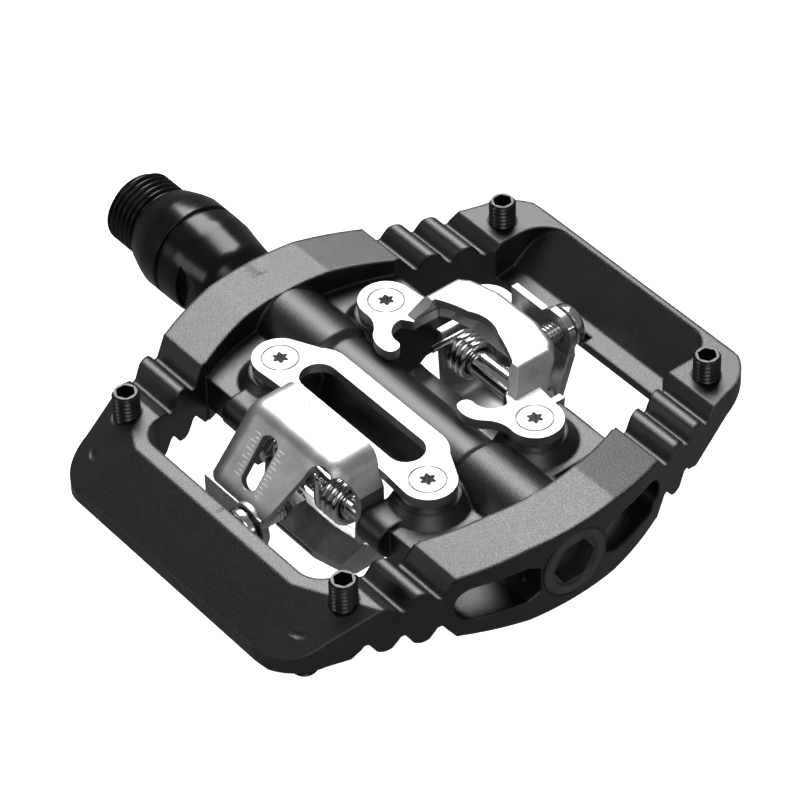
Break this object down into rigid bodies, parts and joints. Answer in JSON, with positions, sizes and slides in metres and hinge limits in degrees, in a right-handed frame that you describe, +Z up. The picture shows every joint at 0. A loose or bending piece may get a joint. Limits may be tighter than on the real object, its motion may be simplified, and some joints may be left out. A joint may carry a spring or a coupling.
{
  "type": "clipless bicycle pedal",
  "caption": "Double-sided clipless bicycle pedal with a wide open cage, traction pins, a fixed toe hook and sprung heel claw on each side, on a threaded spindle.",
  "frame": {"origin": "on the axle axis at the crank face, where the thread of the spindle starts", "axes": "+Y along the axle towards the crank, +X towards the toe, +Z up"},
  "size_m": [0.1028, 0.1198, 0.0256],
  "materials": {
    "cage_black_anodised": "bead-blasted and black anodised, fine satin grain",
    "spindle_black_steel": "black finished turned steel",
    "bearing_steel": "ground bearing steel",
    "bush_bronze": "sintered bronze",
    "seal_rubber": "black nitrile rubber",
    "black_steel": "black oxide steel",
    "cap_black_plastic": "matt black",
    "plate_satin_steel": "tumbled stainless steel",
    "claw_satin_steel": "tumbled stainless steel",
    "shim_bright_steel": "bright steel",
    "spring_chrome": "polished spring wire",
    "sleeve_plastic": "black nylon",
    "nut_plastic": "dark grey moulded nylon over a steel nut"
  },
  "bodies": {
    "spindle": {"spindle": "spindle_black_steel", "bearing_inner_races": "bearing_steel", "spindle_washer": "bearing_steel", "spindle_lock_nut": "black_steel"},
    "ball_train": {"bearing_balls": "bearing_steel"},
    "cage": {"pedal_body": "cage_black_anodised", "bearing_outer_races": "bearing_steel", "spindle_bush": "bush_bronze", "spindle_seal": "seal_rubber", "end_cap": "cap_black_plastic", "toe_hook_top": "plate_satin_steel", "toe_hook_bottom": "plate_satin_steel", "heel_plate_top": "plate_satin_steel", "heel_plate_bottom": "plate_satin_steel", "toe_hook_shims_top": "shim_bright_steel", "toe_hook_shims_bottom": "shim_bright_steel", "heel_plate_shims_top": "shim_bright_steel", "heel_plate_shims_bottom": "shim_bright_steel", "plate_screws_top": "plate_satin_steel", "plate_screws_bottom": "plate_satin_steel", "claw_pivot_pin_top": "shim_bright_steel", "claw_pivot_pin_bottom": "shim_bright_steel", "spring_sleeve_top": "sleeve_plastic", "spring_sleeve_bottom": "sleeve_plastic", "torsion_spring_top": "spring_chrome", "torsion_spring_bottom": "spring_chrome", "traction_pins_top": "black_steel", "traction_pins_bottom": "black_steel"},
    "claw_top": {"claw_top": "claw_satin_steel", "bolt_washer_top": "shim_bright_steel"},
    "tension_bolt_top": {"tension_bolt_top": "black_steel"},
    "tension_nut_top": {"tension_nut_top": "nut_plastic"},
    "claw_bottom": {"claw_bottom": "claw_satin_steel", "bolt_washer_bottom": "shim_bright_steel"},
    "tension_bolt_bottom": {"tension_bolt_bottom": "black_steel"},
    "tension_nut_bottom": {"tension_nut_bottom": "nut_plastic"}
  },
  "joints": [
    {"name": "cage_spin", "type": "hinge", "parent": "spindle", "child": "cage", "pos_m": [0, -0.0675, 0], "axis": [0, 1, 0], "continuous": true},
    {"name": "ball_train_spin", "type": "hinge", "parent": "spindle", "child": "ball_train", "pos_m": [0, -0.0675, 0], "axis": [0, 1, 0], "continuous": true},
    {"name": "claw_release_top", "type": "hinge", "parent": "cage", "child": "claw_top", "pos_m": [-0.02, -0.0675, 0.001], "axis": [0, -1, 0], "range_deg": [0, 12], "stiffness_Nm_per_rad": 1.5, "springref_deg": -20.05},
    {"name": "tension_bolt_turn_top", "type": "hinge", "parent": "claw_top", "child": "tension_bolt_top", "pos_m": [-0.03, -0.0675, -0.0024], "axis": [1, 0, 0], "range_deg": [0, 1080]},
    {"name": "tension_nut_slide_top", "type": "slide", "parent": "claw_top", "child": "tension_nut_top", "axis": [-1, 0, 0], "range_m": [0, 0.0021]},
    {"name": "claw_release_bottom", "type": "hinge", "parent": "cage", "child": "claw_bottom", "pos_m": [0.02, -0.0675, -0.001], "axis": [0, -1, 0], "range_deg": [0, 12], "stiffness_Nm_per_rad": 1.5, "springref_deg": -20.05},
    {"name": "tension_bolt_turn_bottom", "type": "hinge", "parent": "claw_bottom", "child": "tension_bolt_bottom", "pos_m": [0.03, -0.0675, 0.0024], "axis": [-1, 0, 0], "range_deg": [0, 1080]},
    {"name": "tension_nut_slide_bottom", "type": "slide", "parent": "claw_bottom", "child": "tension_nut_bottom", "axis": [1, 0, 0], "range_m": [0, 0.0021]}
  ],
  "couplings": [
    {"joint": "ball_train_spin", "follows": "cage_spin", "ratio": 0.6},
    {"joint": "tension_nut_slide_top", "follows": "tension_bolt_turn_top", "m_per_rad": 0.00011141},
    {"joint": "tension_nut_slide_bottom", "follows": "tension_bolt_turn_bottom", "m_per_rad": 0.00011141}
  ]
}
